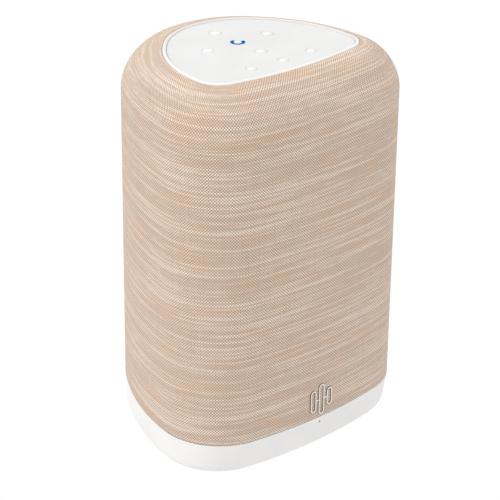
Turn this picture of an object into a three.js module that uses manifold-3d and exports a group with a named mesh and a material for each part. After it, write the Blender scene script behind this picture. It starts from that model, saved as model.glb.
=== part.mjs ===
// A free-standing smart speaker with a rounded three-sided plan, as an assembly of separate pieces.
// Units are millimetres. +Z is up, -Y is the front, and the origin is on the floor under the middle.
import * as THREE from 'three';
import { mergeVertices } from 'three/addons/utils/BufferGeometryUtils.js';
import Module from 'manifold-3d';

const wasm = await Module();
wasm.setup();

// ---------------------------------------------------------------- driving dimensions

const GAP = 0.3; // clearance between neighbouring pieces
const THROUGH = 1; // how far a cutting shape runs past the face it cuts
const OVERLAP = 0.1; // how far a raised part sinks into the piece it stands on
const BEYOND = 120; // further from the middle than any face, along X or Y

// Plan outlines: two equal front corners and one wide rear corner, joined by three long arcs.
const BODY = {
  cornerX: 51.5, cornerY: -36.3, cornerR: 45.6,
  backY: 6.4, backR: 79.9,
  frontR: 343.6, sideR: 188,
};
const PANEL = {
  cornerX: 51.6, cornerY: -34.6, cornerR: 18,
  backY: -5.5, backR: 58.3,
  frontR: 264, sideR: 91.7,
};
const STEPS = { corner: 7, back: 9, front: 3, side: 6 }; // segments in each arc of an outline

// Heights
const FOOT_TOP = 1.2;
const SKIRT_BOTTOM = 1.2;
const SKIRT_TOP = 26.9;
const FABRIC_BOTTOM = 27.2;
const CHASSIS_BOTTOM = 27.3;
const CHASSIS_TOP = 29.8;
const CABINET_BOTTOM = 30.1;
const CABINET_TOP = 236;
const LID_THICKNESS = 4;
const SHOULDER_START = 248.9;
const FABRIC_TOP = 281.2;
const TRAY_BOTTOM = 264;
const TRAY_FLOOR = 266.5;
const CONTROL_BOARD_BOTTOM = 270.4;
const CONTROL_BOARD_TOP = 272;
const KEYPAD_BOTTOM = 272.3;
const KEYPAD_TOP = 273.3;
const PLATE_TOP = 281.1;
const PLATE_BOTTOM = 278.9;
const RIM_TOP = 282;

// Walls
const FABRIC_THICKNESS = 1.2;
const CAGE_THICKNESS = 1.8;
const CAGE_INSET = 2.2; // from the fabric's outer face to the cage's
const SKIRT_WALL = 2.5;
const CABINET_WALL = 4;
const CABINET_INSET = 12; // from the fabric's outer face to the cabinet wall
const RIM_WIDTH = 3;

// Skirt
const SKIRT_TAPER = 2.2; // how far the foot of the skirt draws in, and how far it shifts to the rear
const SKIRT_EDGE_R = 7.8;
const COVER_INSET = 14;
const COVER_BOTTOM = 1.5;
const COVER_TOP = 3.7;
const LEDGE_WIDTH = 5;
const LEDGE_OVERHANG = 3; // how far the ledge reaches outwards past the cover's edge
const LEDGE_TOP = 6.2;
const REBATE_TOP = 4;
const BOSS_TOP = 10.5;
const CHASSIS_POSTS = [...mirrored(86, -10), ...mirrored(64, 40), [0, -72]];
const FRONT_SCREW_REACH = 18.4; // along X and Y, from a front corner's centre to its cover screw
const REAR_SCREW = { x: 45, y: 48.5 };
const FRONT_HOLE = { z: 22.6, r: 0.9 };
const FOOT_PADS = { foot_pad_left: [-52, -34], foot_pad_right: [52, -34], foot_pad_rear: [0, 52] };
const FOOT_PAD_R = 9;

// Screws
const SCREW_SHAFT_R = 1.3;
const SCREW_HOLE_R = 1.6;

// Rear connector recess
const RECESS = {
  halfWidth: 43, bottom: 5.2, top: 24.2, wall: 2.3,
  plateY: 69, plateT: 2, behindPlate: 2,
};

// Shoulder: a superellipse between the body outline and the panel outline
const SHOULDER_POWER = 2 / 1.844;
const SHOULDER_STEPS = 5;
const PANEL_CLEARANCE = 0.4; // from the top bezel to the cloth and the cage

// Sound slots of the cage
const SLOT_ROWS = [[44, 136], [150, 242]]; // bottom and top height of each row
const SLOT_SHARE = 0.62; // of the wall segment a slot stands in

// Drivers
const BAFFLE_Y = BODY.cornerY - (BODY.cornerR - CABINET_INSET);
const BAFFLE_RECESS = 1.2;
const DRIVER_Y = BAFFLE_Y + BAFFLE_RECESS;
const WOOFER_Z = 125;
const WOOFER_R = 56;
const TWEETER_X = 34;
const TWEETER_Z = 212;
const TWEETER_R = 22;
const RADIATOR_Z = 112;
const RADIATOR_R = 41.5;
const RADIATOR_POCKET = 6;
const RADIATOR_ANGLE = THREE.MathUtils.degToRad(20.3);

// Front emblem
const BADGE = {
  z: 41.5, heights: [14, 24, 17.5], barWidth: 5.5, pitch: 7.6,
  stroke: 1.3, railWidth: 1.2, thickness: 1,
};

// Electronics
const BOARD_Z = 7;
const BOARD_THICKNESS = 1.6;
const HEAT_SINK = {
  x0: 16, x1: 56, y0: -42, y1: -8,
  bottom: 10.4, baseTop: 13, top: 24,
  finPitch: 6, finWidth: 2,
};

// Control panel
const POWER_Y = 5.7;
const KEY_REACH = { across: 26.9, along: 23.5 }; // from the power button to the keys round it
const KEY_R = 4.4;
const PRESET_R = 3.7;
const PRESET_PITCH = 27;
const PRESET_Y = -38.7;
const MIDDLE_PRESET_Y = -40.4;
const KEY_PROUD = 0.4;
const LIGHT_ARC = { outerR: 5.15, innerR: 3.1, gapCentre: 48, halfGap: 46 };
const POWER_R = 2.8;

// ---------------------------------------------------------------- materials

function finish(color, roughness, metalness = 0) {
  return new THREE.MeshStandardMaterial({ color, roughness, metalness });
}

const WHITE_PLASTIC = finish(0xf1f0ec, 0.45);
const PANEL_PLASTIC = finish(0xf4f5f5, 0.35);
const KEY_PLASTIC = finish(0xfafafa, 0.3);
const BLUE_LIGHT = finish(0x1470c0, 0.3);
const FABRIC = finish(0xcdb8a4, 0.95);
const DARK_PLASTIC = finish(0x26282b, 0.6);
const GREY_PLASTIC = finish(0x6d7075, 0.6);
const RUBBER = finish(0x2b2b2d, 0.9);
const SILICONE = finish(0xb9bcc0, 0.8);
const STEEL = finish(0xb8babd, 0.35, 1);
const POLISHED = finish(0xd9d7d2, 0.2, 1);
const ALUMINIUM = finish(0xa9adb2, 0.4, 1);
const FERRITE = finish(0x3a3b3d, 0.7, 0.3);
const CIRCUIT = finish(0x1f6b46, 0.5);
const PAPER_CONE = finish(0x34363a, 0.85);
const SILK = finish(0x4a4c50, 0.8);
const COPPER_FILM = finish(0xc98b52, 0.5);
const DARK_LENS = finish(0x141518, 0.15);

// ---------------------------------------------------------------- solids

/** A BufferGeometry as a manifold solid, with its faces turned outwards. */
function solid(geometry) {
  const bare = geometry.clone();
  bare.deleteAttribute('normal');
  bare.deleteAttribute('uv');
  const merged = mergeVertices(bare, 1e-4);
  const triVerts = new Uint32Array(merged.index.array);
  const vertProperties = new Float32Array(merged.attributes.position.array);
  if (signedVolume(vertProperties, triVerts) < 0) {
    for (let i = 0; i < triVerts.length; i += 3) {
      [triVerts[i], triVerts[i + 1]] = [triVerts[i + 1], triVerts[i]];
    }
  }
  return new wasm.Manifold(new wasm.Mesh({ numProp: 3, vertProperties, triVerts }));
}

function signedVolume(positions, triangles) {
  const corner = (i) => new THREE.Vector3().fromArray(positions, 3 * triangles[i]);
  let total = 0;
  for (let i = 0; i < triangles.length; i += 3) {
    total += corner(i).dot(corner(i + 1).cross(corner(i + 2)));
  }
  return total / 6;
}

function toGeometry(body) {
  const mesh = body.getMesh();
  const geometry = new THREE.BufferGeometry();
  geometry.setAttribute('position', new THREE.BufferAttribute(new Float32Array(mesh.vertProperties), 3));
  geometry.setIndex(new THREE.BufferAttribute(new Uint32Array(mesh.triVerts), 1));
  geometry.computeVertexNormals();
  return geometry;
}

const join = (first, ...rest) => rest.reduce((all, next) => all.add(next), first);
const cut = (first, ...rest) => rest.reduce((all, next) => all.subtract(next), first);

/** A box between two corners. */
function box(x0, x1, y0, y1, z0, z1) {
  const geometry = new THREE.BoxGeometry(x1 - x0, y1 - y0, z1 - z0);
  return solid(geometry.translate((x0 + x1) / 2, (y0 + y1) / 2, (z0 + z1) / 2));
}

/** An upright cylinder on a point. */
function post(x, y, radius, z0, z1, segments = 12) {
  const geometry = new THREE.CylinderGeometry(radius, radius, z1 - z0, segments).rotateX(Math.PI / 2);
  return solid(geometry.translate(x, y, (z0 + z1) / 2));
}

/** A thick round disc about the Z axis. */
function disc(radius, z0, z1) {
  return post(0, 0, radius, z0, z1, 24);
}

/** A profile of [radius, height] points turned about the Z axis. */
function turned(profile, segments) {
  const points = profile.map(([r, z]) => new THREE.Vector2(r, z));
  return solid(new THREE.LatheGeometry(points, segments).rotateX(Math.PI / 2));
}

/** A closed ring section turned about the Z axis. */
function turnedRing(profile, segments) {
  return turned([...profile, profile[0]], segments);
}

/** An outline of 2D points as an upright prism. */
function prism(points, z0, z1) {
  const shape = new THREE.Shape(points);
  const geometry = new THREE.ExtrudeGeometry(shape, { depth: z1 - z0, bevelEnabled: false });
  return solid(geometry.translate(0, 0, z0));
}

/** Rings of equal point counts skinned into one solid, capped at both ends or closed round. */
function skinned(rings, closedRound = false) {
  const count = rings[0].length;
  const positions = rings.flat().flatMap((p) => [p.x, p.y, p.z]);
  const triangles = [];
  const bands = closedRound ? rings.length : rings.length - 1;
  for (let band = 0; band < bands; band += 1) {
    const lower = band * count;
    const upper = ((band + 1) % rings.length) * count;
    for (let i = 0; i < count; i += 1) {
      const next = (i + 1) % count;
      triangles.push(lower + i, lower + next, upper + next);
      triangles.push(lower + i, upper + next, upper + i);
    }
  }
  if (!closedRound) {
    const top = (rings.length - 1) * count;
    for (let i = 1; i < count - 1; i += 1) {
      triangles.push(0, i + 1, i);
      triangles.push(top, top + i, top + i + 1);
    }
  }
  const geometry = new THREE.BufferGeometry();
  geometry.setAttribute('position', new THREE.BufferAttribute(new Float32Array(positions), 3));
  geometry.setIndex(triangles);
  return solid(geometry);
}

// ---------------------------------------------------------------- plan outlines

/** The centre of a long arc of radius `radius` that rolls round two corner circles. */
function longArcCentre(a, b, radius) {
  const along = new THREE.Vector2(b.x - a.x, b.y - a.y);
  const length = along.length();
  along.divideScalar(length);
  const inwards = new THREE.Vector2(-along.y, along.x);
  const fromA = radius - a.r;
  const fromB = radius - b.r;
  const x = (fromA ** 2 - fromB ** 2 + length ** 2) / (2 * length);
  const h = Math.sqrt(fromA ** 2 - x ** 2);
  return new THREE.Vector2(a.x, a.y).addScaledVector(along, x).addScaledVector(inwards, h);
}

function bearing(from, to) {
  return Math.atan2(to.y - from.y, to.x - from.x);
}

function arcPoints(centre, radius, start, end, steps, shiftY) {
  const sweep = THREE.MathUtils.euclideanModulo(end - start, 2 * Math.PI);
  const points = [];
  for (let i = 0; i < steps; i += 1) {
    const angle = start + (sweep * i) / steps;
    points.push(new THREE.Vector2(
      centre.x + radius * Math.cos(angle),
      centre.y + radius * Math.sin(angle) + shiftY,
    ));
  }
  return points;
}

/** A plan outline, counter-clockwise from the front left corner, moved in by `inset`. */
function outline(plan, inset = 0, shiftY = 0) {
  const corners = [
    { x: -plan.cornerX, y: plan.cornerY, r: plan.cornerR - inset, steps: STEPS.corner },
    { x: plan.cornerX, y: plan.cornerY, r: plan.cornerR - inset, steps: STEPS.corner },
    { x: 0, y: plan.backY, r: plan.backR - inset, steps: STEPS.back },
  ];
  const radii = [plan.frontR - inset, plan.sideR - inset, plan.sideR - inset];
  const steps = [STEPS.front, STEPS.side, STEPS.side];
  const centres = corners.map((corner, i) => longArcCentre(corner, corners[(i + 1) % 3], radii[i]));
  const points = [];
  corners.forEach((corner, i) => {
    const before = centres[(i + 2) % 3];
    const after = centres[i];
    const next = corners[(i + 1) % 3];
    const turnStart = bearing(before, corner);
    const turnEnd = bearing(after, corner);
    points.push(...arcPoints(corner, corner.r, turnStart, turnEnd, corner.steps, shiftY));
    points.push(...arcPoints(after, radii[i], turnEnd, bearing(after, next), steps[i], shiftY));
  });
  return points;
}

const level = (points, z) => points.map((p) => new THREE.Vector3(p.x, p.y, z));

/** Ring of the shoulder: `share` runs from 0 at the body wall to 1 at the panel. */
function shoulderRing(bodyInset, panelInset, topZ, share) {
  const angle = (share * Math.PI) / 2;
  const reach = Math.cos(angle) ** SHOULDER_POWER;
  const rise = Math.sin(angle) ** SHOULDER_POWER;
  const wide = outline(BODY, bodyInset);
  const narrow = outline(PANEL, panelInset);
  const points = narrow.map((p, i) => p.clone().lerp(wide[i], reach));
  return level(points, SHOULDER_START + (topZ - SHOULDER_START) * rise);
}

/** A thin-walled sleeve from `bottom` up over the shoulder, open at the bottom and at the panel. */
function shoulderedSleeve(bottom, outerInset, thickness, panelInset, topZ) {
  const outer = [level(outline(BODY, outerInset), bottom)];
  const inner = [level(outline(BODY, outerInset + thickness), bottom)];
  for (let i = 0; i <= SHOULDER_STEPS; i += 1) {
    const share = i / SHOULDER_STEPS;
    outer.push(shoulderRing(outerInset, panelInset, topZ, share));
    inner.push(shoulderRing(outerInset + thickness, panelInset, topZ - thickness, share));
  }
  return skinned([...outer, ...inner.reverse()], true);
}

// ---------------------------------------------------------------- scene graph

const speaker = new THREE.Group();

/** Adds one named piece to a group, with its mesh at the group's own origin. */
function piece(name, body, material, parent = speaker) {
  const mesh = new THREE.Mesh(toGeometry(body), material);
  mesh.name = name;
  parent.add(mesh);
  return mesh;
}

/** A group whose +Z points along `facing`, with its origin at `position`. */
function placement(position, facing) {
  const turn = new THREE.Quaternion().setFromUnitVectors(new THREE.Vector3(0, 0, 1), facing);
  return new THREE.Matrix4().compose(position, turn, new THREE.Vector3(1, 1, 1));
}

function placedGroup(matrix) {
  const group = new THREE.Group();
  group.applyMatrix4(matrix);
  speaker.add(group);
  return group;
}

/** The same body moved to where a placed group has it. */
const moved = (body, matrix) => solid(toGeometry(body).applyMatrix4(matrix));

const FRONT = new THREE.Vector3(0, -1, 0);
const WOOFER_PLACE = placement(new THREE.Vector3(0, DRIVER_Y, WOOFER_Z), FRONT);
const TWEETER_PLACES = {
  left: placement(new THREE.Vector3(-TWEETER_X, DRIVER_Y, TWEETER_Z), FRONT),
  right: placement(new THREE.Vector3(TWEETER_X, DRIVER_Y, TWEETER_Z), FRONT),
};
const RADIATOR_PLACES = { left: radiatorPlace(-1), right: radiatorPlace(1) };

/** The floor of a side radiator's pocket, below the crown of the cabinet's long side arc. */
function radiatorPlace(side) {
  const corner = { x: BODY.cornerX, y: BODY.cornerY, r: BODY.cornerR };
  const back = { x: 0, y: BODY.backY, r: BODY.backR };
  const centre = longArcCentre(corner, back, BODY.sideR);
  const reach = BODY.sideR - CABINET_INSET - RADIATOR_POCKET;
  const facing = new THREE.Vector3(side * Math.cos(RADIATOR_ANGLE), Math.sin(RADIATOR_ANGLE), 0);
  const position = new THREE.Vector3(side * centre.x, centre.y, RADIATOR_Z).addScaledVector(facing, reach);
  return placement(position, facing);
}

// ---------------------------------------------------------------- base

/** Cover screw axes, in plan. */
const COVER_SCREWS = [
  ...mirrored(BODY.cornerX + FRONT_SCREW_REACH, BODY.cornerY - FRONT_SCREW_REACH + SKIRT_TAPER),
  ...mirrored(REAR_SCREW.x, REAR_SCREW.y),
];

/** The two points at x to the left and to the right of the middle. */
function mirrored(x, y) {
  return [[-x, y], [x, y]];
}

/** The skirt's outline at a height, drawn in and shifted to the rear towards the floor. */
function skirtOutline(z, inset) {
  const share = (SKIRT_TOP - z) / SKIRT_TOP;
  return outline(BODY, inset + SKIRT_TAPER * share, SKIRT_TAPER * share);
}

/** The skirt's bulk from `bottom` to `top`, moved in by `wall`, with a rounded lower edge. */
function skirtBulk(wall, bottom, top) {
  const edgeSteps = 4;
  const radius = SKIRT_EDGE_R - wall;
  const rings = [];
  for (let i = 0; i <= edgeSteps; i += 1) {
    const angle = (i / edgeSteps) * (Math.PI / 2);
    const z = bottom + radius * (1 - Math.cos(angle));
    rings.push(level(skirtOutline(z, wall + radius * (1 - Math.sin(angle))), z));
  }
  rings.push(level(skirtOutline(top, wall), top));
  return skinned(rings);
}

function baseSkirt() {
  const floorTop = SKIRT_BOTTOM + SKIRT_WALL;
  const postR = 4;
  const outer = skirtBulk(0, SKIRT_BOTTOM, SKIRT_TOP);
  const hollow = skirtBulk(SKIRT_WALL, floorTop, SKIRT_TOP + THROUGH);
  const ledge = prism(skirtOutline(0, COVER_INSET - LEDGE_OVERHANG), SKIRT_BOTTOM, LEDGE_TOP);
  const opening = prism(skirtOutline(0, COVER_INSET + LEDGE_WIDTH), 0, SKIRT_TOP);
  const bosses = COVER_SCREWS.map(([x, y]) => post(x, y, postR, floorTop, BOSS_TOP));
  const posts = CHASSIS_POSTS.map(([x, y]) => post(x, y, postR, floorTop - OVERLAP, SKIRT_TOP));
  const { halfWidth, bottom, top, wall, plateY, behindPlate } = RECESS;
  const tunnel = box(
    -halfWidth - wall, halfWidth + wall,
    plateY - behindPlate + THROUGH, BEYOND,
    bottom - wall, top + wall,
  );
  const rim = cut(join(cut(outer, hollow), ledge), opening);
  const tub = join(rim, ...bosses, ...posts, tunnel).intersect(outer);
  const rebate = prism(skirtOutline(0, COVER_INSET), 0, REBATE_TOP);
  const window = box(-halfWidth, halfWidth, plateY - behindPlate, BEYOND, bottom, top);
  const screwHoles = COVER_SCREWS.map(([x, y]) => post(x, y, SCREW_HOLE_R, 0, BOSS_TOP - 1.2, 10));
  return cut(tub, rebate, window, ...screwHoles, frontRod(FRONT_HOLE.r, -90, -78));
}

/** A round rod along Y at the height of the hole in the skirt's front. */
function frontRod(radius, y0, y1) {
  const geometry = new THREE.CylinderGeometry(radius, radius, y1 - y0, 12);
  return solid(geometry.translate(0, (y0 + y1) / 2, FRONT_HOLE.z));
}

/** A light guide pin in the front hole, with a flange behind the skirt's wall. */
function statusLens() {
  const pin = frontRod(0.6, -84.2, -81.2);
  const flange = frontRod(2, -81.6, -80.4);
  return join(pin, flange);
}

function bottomCover() {
  const slotPitch = 6;
  const slotHalfLength = 22;
  const slotHalfWidth = 1;
  const under = COVER_BOTTOM - THROUGH;
  const over = COVER_TOP + THROUGH;
  const slots = [];
  for (let y = -3 * slotPitch; y <= 3 * slotPitch; y += slotPitch) {
    slots.push(box(-slotHalfLength, slotHalfLength, y - slotHalfWidth, y + slotHalfWidth, under, over));
  }
  const headWells = COVER_SCREWS.map(([x, y]) => post(x, y, 3.2, under, 3.1));
  const shaftHoles = COVER_SCREWS.map(([x, y]) => post(x, y, SCREW_HOLE_R, COVER_BOTTOM, over));
  const plate = prism(skirtOutline(0, COVER_INSET + GAP), COVER_BOTTOM, COVER_TOP);
  return cut(plate, ...slots, ...headWells, ...shaftHoles);
}

/** A cross-recess machine screw, its head's top at z = 0 and its shaft pointing to -Z. */
function screw(headR, headH, length) {
  const body = turned([
    [0, 0], [headR * 0.7, 0], [headR, -headH],
    [SCREW_SHAFT_R, -headH], [SCREW_SHAFT_R, -length], [0, -length],
  ], 8);
  const recess = headH * 0.6;
  const reach = headR * 0.55;
  const half = 0.35;
  const cross = join(
    box(-reach, reach, -half, half, -recess, THROUGH),
    box(-half, half, -reach, reach, -recess, THROUGH),
  );
  return cut(body, cross);
}

function buildBase() {
  piece('base_skirt', baseSkirt(), WHITE_PLASTIC);
  piece('bottom_cover', bottomCover(), GREY_PLASTIC);
  Object.entries(FOOT_PADS).forEach(([name, [x, y]]) => {
    piece(name, post(x, y, FOOT_PAD_R, 0, FOOT_TOP, 24), RUBBER);
  });
  COVER_SCREWS.forEach(([x, y], i) => {
    const fastener = piece(`cover_screw_${i + 1}`, screw(2.8, 1.2, 7.2), STEEL);
    fastener.rotation.x = Math.PI;
    fastener.position.set(x, y, 1.7);
  });
  piece('status_lens', statusLens(), DARK_LENS);
}

// ---------------------------------------------------------------- connectors and electronics

/** An outline of a slot with round ends, centred on a point. */
function stadium(x, y, width, height) {
  const straight = (width - height) / 2;
  const shape = new THREE.Path();
  shape.absarc(x + straight, y, height / 2, -Math.PI / 2, Math.PI / 2);
  shape.absarc(x - straight, y, height / 2, Math.PI / 2, (3 * Math.PI) / 2);
  return shape.getPoints(3).slice(0, -1);
}

/** Turns a body modelled with +Z out of its face so that it looks out of the rear at (x, y, z). */
function rearFacing(body, x, y, z) {
  const matrix = new THREE.Matrix4().makeRotationX(-Math.PI / 2).setPosition(x, y, z);
  return moved(body, matrix);
}

const SOCKETS = {
  mains: { x: -29, z: 14.7, width: 20, height: 13 },
  network: { x: -5, z: 15.6, width: 16, height: 13.4 },
  line: { x: 19, z: 13.9, width: 10, height: 10 },
};

function mainsInlet() {
  const { x, z, width, height } = SOCKETS.mains;
  const depth = 11;
  const shell = join(
    box(-width / 2, width / 2, -height / 2, height / 2, -16, 2),
    box(-12, 12, -8, 8, 2, 4),
  );
  const well = prism(stadium(0, 0, 14.6, 8.8), 4 - depth, 4 + THROUGH);
  const pins = [-4.3, 4.3].map((pinX) => post(pinX, 0, 1.2, 3 - depth, 2.5, 10));
  const y = RECESS.plateY + GAP;
  return rearFacing(join(cut(shell, well), ...pins), x, y, z);
}

function networkSocket() {
  const { x, z, width, height } = SOCKETS.network;
  const shell = box(-width / 2, width / 2, -height / 2, height / 2, -18, 2.6);
  const well = join(box(-5.9, 5.9, -3.2, 4, -10, 4), box(-3, 3, -5.2, -3.1, -10, 4));
  return rearFacing(cut(shell, well), x, RECESS.plateY, z);
}

function lineInJack() {
  const { x, z, width, height } = SOCKETS.line;
  const shell = box(-width / 2, width / 2, -height / 2, height / 2, -12, 2.2);
  const collar = post(0, 0, 3.6, 2, 3.4, 20);
  return rearFacing(cut(join(shell, collar), post(0, 0, 1.8, -9, 4, 16)), x, RECESS.plateY, z);
}

function connectorPlate() {
  const { halfWidth, bottom, top, plateY, plateT } = RECESS;
  const plate = box(-halfWidth + GAP, halfWidth - GAP, plateY, plateY + plateT, bottom + GAP, top - GAP);
  const holes = Object.values(SOCKETS).map(({ x, z, width, height }) => box(
    x - width / 2 - GAP, x + width / 2 + GAP,
    plateY - THROUGH, plateY + plateT + THROUGH,
    z - height / 2 - GAP, z + height / 2 + GAP,
  ));
  return cut(plate, ...holes);
}

/** A circuit board with its parts on top: each part is [x, y, width, depth, height]. */
function board(x0, x1, y0, y1, z, parts) {
  const top = z + BOARD_THICKNESS;
  const sheet = box(x0, x1, y0, y1, z, top);
  const blocks = parts.map(([x, y, width, depth, height]) => (
    box(x - width / 2, x + width / 2, y - depth / 2, y + depth / 2, top - OVERLAP, top + height)
  ));
  return join(sheet, ...blocks);
}

function heatSink() {
  const { x0, x1, y0, y1, bottom, baseTop, top, finPitch, finWidth } = HEAT_SINK;
  const base = box(x0, x1, y0, y1, bottom, baseTop);
  const fins = [];
  for (let x = x0; x + finWidth <= x1; x += finPitch) {
    fins.push(box(x, x + finWidth, y0, y1, baseTop - OVERLAP, top));
  }
  return join(base, ...fins);
}

function buildElectronics() {
  piece('connector_plate', connectorPlate(), DARK_PLASTIC);
  piece('mains_inlet', mainsInlet(), DARK_PLASTIC);
  piece('network_socket', networkSocket(), STEEL);
  piece('line_in_jack', lineInJack(), DARK_PLASTIC);
  const processors = [[14, 20, 24, 20, 3], [-6, 34, 10, 10, 2], [28, 22, 10, 8, 5]];
  piece('main_board', board(-16, 38, 8, 48, BOARD_Z, processors), CIRCUIT);
  const supply = [[-40, 0, 30, 26, 15], [-60, 20, 14, 20, 12], [-34, 26, 16, 12, 10]];
  piece('power_board', board(-68, -19, -34, 34, BOARD_Z, supply), CIRCUIT);
  const amplifiers = [[36, -25, 14, 14, 1.5], [12, -10, 6, 6, 8]];
  piece('amplifier_board', board(6, 62, -50, 2, BOARD_Z, amplifiers), CIRCUIT);
  piece('heat_sink', heatSink(), ALUMINIUM);
}

// ---------------------------------------------------------------- cabinet

function chassisPlate() {
  const plate = prism(outline(BODY, CAGE_INSET + CAGE_THICKNESS + GAP), CHASSIS_BOTTOM, CHASSIS_TOP);
  return cut(plate, ribbonSlot(CHASSIS_BOTTOM - THROUGH, CHASSIS_TOP + THROUGH));
}

/** The cabinet's bulk, with its front cut back to one flat baffle. */
function cabinetBulk(inset, frontY, z0, z1) {
  const behindBaffle = box(-BEYOND, BEYOND, frontY, BEYOND, z0 - THROUGH, z1 + THROUGH);
  return prism(outline(BODY, inset), z0, z1).intersect(behindBaffle);
}

function innerCabinet() {
  const baffleThickness = 6;
  const outer = cabinetBulk(CABINET_INSET, BAFFLE_Y, CABINET_BOTTOM, CABINET_TOP);
  const innerInset = CABINET_INSET + CABINET_WALL;
  const innerFront = BAFFLE_Y + baffleThickness;
  const floorTop = CABINET_BOTTOM + CABINET_WALL;
  let shell = cut(outer, cabinetBulk(innerInset, innerFront, floorTop, CABINET_TOP + THROUGH));
  Object.values(RADIATOR_PLACES).forEach((place) => {
    shell = join(shell, moved(disc(RADIATOR_R + 4.5, -6, 0), place).intersect(outer));
    shell = cut(shell, moved(disc(RADIATOR_R + 1.5, 0, 20), place));
    shell = cut(shell, moved(disc(30.5, -10, 2), place));
  });
  const seats = [
    { place: WOOFER_PLACE, rimR: WOOFER_R + 0.6, holeR: 50.3 },
    { place: TWEETER_PLACES.left, rimR: TWEETER_R + 0.5, holeR: 17 },
    { place: TWEETER_PLACES.right, rimR: TWEETER_R + 0.5, holeR: 17 },
  ];
  seats.forEach(({ place, rimR, holeR }) => {
    shell = cut(shell, moved(disc(rimR, 0, 9), place));
    shell = cut(shell, moved(disc(holeR, -12, 1), place));
  });
  const pilotHoles = WOOFER_SCREWS.map(([x, y]) => (
    moved(post(x, y, SCREW_HOLE_R, -9, THROUGH, 8), WOOFER_PLACE)
  ));
  return cut(shell, ...pilotHoles);
}

function cabinetLid() {
  const bottom = CABINET_TOP + GAP;
  return cabinetBulk(CABINET_INSET, BAFFLE_Y, bottom, bottom + LID_THICKNESS);
}

/** The rigid cage under the fabric, slotted all round to let the sound out. */
function grilleCage() {
  const top = FABRIC_TOP - CAGE_INSET - 0.2;
  const cage = shoulderedSleeve(CHASSIS_BOTTOM, CAGE_INSET, CAGE_THICKNESS, -PANEL_CLEARANCE, top);
  const wall = outline(BODY, CAGE_INSET);
  const slots = [];
  for (let i = 0; i < wall.length; i += 2) {
    const here = wall[i];
    const next = wall[(i + 1) % wall.length];
    const middle = here.clone().add(next).multiplyScalar(0.5);
    const width = here.distanceTo(next) * SLOT_SHARE;
    const angle = bearing(here, next);
    SLOT_ROWS.forEach(([z0, z1]) => {
      const geometry = new THREE.BoxGeometry(width, 4 * CAGE_THICKNESS, z1 - z0).rotateZ(angle);
      slots.push(solid(geometry.translate(middle.x, middle.y, (z0 + z1) / 2)));
    });
  }
  return cut(cage, ...slots);
}

function fabricSleeve() {
  return shoulderedSleeve(FABRIC_BOTTOM, 0, FABRIC_THICKNESS, -PANEL_CLEARANCE, FABRIC_TOP);
}

/** An emblem of three upright sound bars in outline, joined by two short rails. */
function frontBadge() {
  const { z: centreZ, heights, barWidth, pitch, stroke, railWidth, thickness } = BADGE;
  const bars = heights.map((height, i) => {
    const x = (i - 1) * pitch;
    const rim = prism(stadium(0, x, height, barWidth), 0, thickness);
    const inside = stadium(0, x, height - 2 * stroke, barWidth - 2 * stroke);
    return cut(rim, prism(inside, -THROUGH, thickness + THROUGH));
  });
  const upright = new THREE.Matrix4().makeRotationZ(Math.PI / 2);
  const sunkInBar = 0.4;
  const railReach = (pitch - barWidth) / 2 + sunkInBar;
  const rails = [-pitch / 2, pitch / 2].map((x) => (
    box(x - railReach, x + railReach, -railWidth / 2, railWidth / 2, 0, thickness)
  ));
  const emblem = join(moved(join(...bars), upright), ...rails);
  const frontY = Math.min(...outline(BODY).map((p) => p.y));
  const onFront = new THREE.Matrix4().makeRotationX(Math.PI / 2).setPosition(0, frontY - GAP, centreZ);
  return moved(emblem, onFront);
}

function buildCabinet() {
  piece('chassis_plate', chassisPlate(), GREY_PLASTIC);
  piece('inner_cabinet', innerCabinet(), DARK_PLASTIC);
  piece('cabinet_lid', cabinetLid(), DARK_PLASTIC);
  piece('grille_cage', grilleCage(), GREY_PLASTIC);
  piece('fabric_sleeve', fabricSleeve(), FABRIC);
  piece('front_badge', frontBadge(), POLISHED);
}

// ---------------------------------------------------------------- drivers

const WOOFER_SCREWS = [45, 135, 225, 315].map((degrees) => {
  const angle = THREE.MathUtils.degToRad(degrees);
  return [53 * Math.cos(angle), 53 * Math.sin(angle)];
});

/** A half-roll rubber surround: flat lips joined by one arch, its lips' undersides at `z`. */
function surround(innerR, outerR, lip, z, segments) {
  const skin = 0.6;
  const middle = (innerR + outerR) / 2;
  const rollR = (outerR - innerR) / 2 - lip;
  const arch = (radius, clockwise) => {
    const points = [];
    const steps = 4;
    for (let i = 0; i <= steps; i += 1) {
      const angle = Math.PI * (clockwise ? 1 - i / steps : i / steps);
      points.push([middle + radius * Math.cos(angle), z + skin + (radius - skin / 2) * Math.sin(angle)]);
    }
    return points;
  };
  const top = [[innerR, z + skin], ...arch(rollR, true), [outerR, z + skin]];
  const bottom = [
    [outerR, z], [middle + rollR - skin, z],
    ...arch(rollR - skin, false).slice(1, -1),
    [middle - rollR + skin, z], [innerR, z],
  ];
  return turnedRing([...top, ...bottom], segments);
}

function wooferBasket() {
  const bowl = turnedRing([
    [47.2, 3.3], [WOOFER_R, 3.3], [WOOFER_R, GAP], [49.8, GAP], [31, -32],
    [16.8, -32], [16.8, -30], [29.5, -30], [47.2, GAP],
  ], 24);
  const windows = [0, 90].map((degrees) => {
    const geometry = new THREE.BoxGeometry(120, 24, 20).rotateZ(THREE.MathUtils.degToRad(degrees));
    return solid(geometry.translate(0, 0, -16));
  });
  const holes = WOOFER_SCREWS.map(([x, y]) => post(x, y, 1.8, -1, 5, 8));
  return cut(bowl, ...windows, ...holes);
}

function wooferMagnet() {
  return turned([
    [0, -30.5], [12.6, -30.5], [12.6, -50], [15.6, -50], [15.6, -32.3], [38, -32.3],
    [38, -36], [40, -36], [40, -51], [38, -51], [38, -56], [0, -56],
  ], 24);
}

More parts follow.
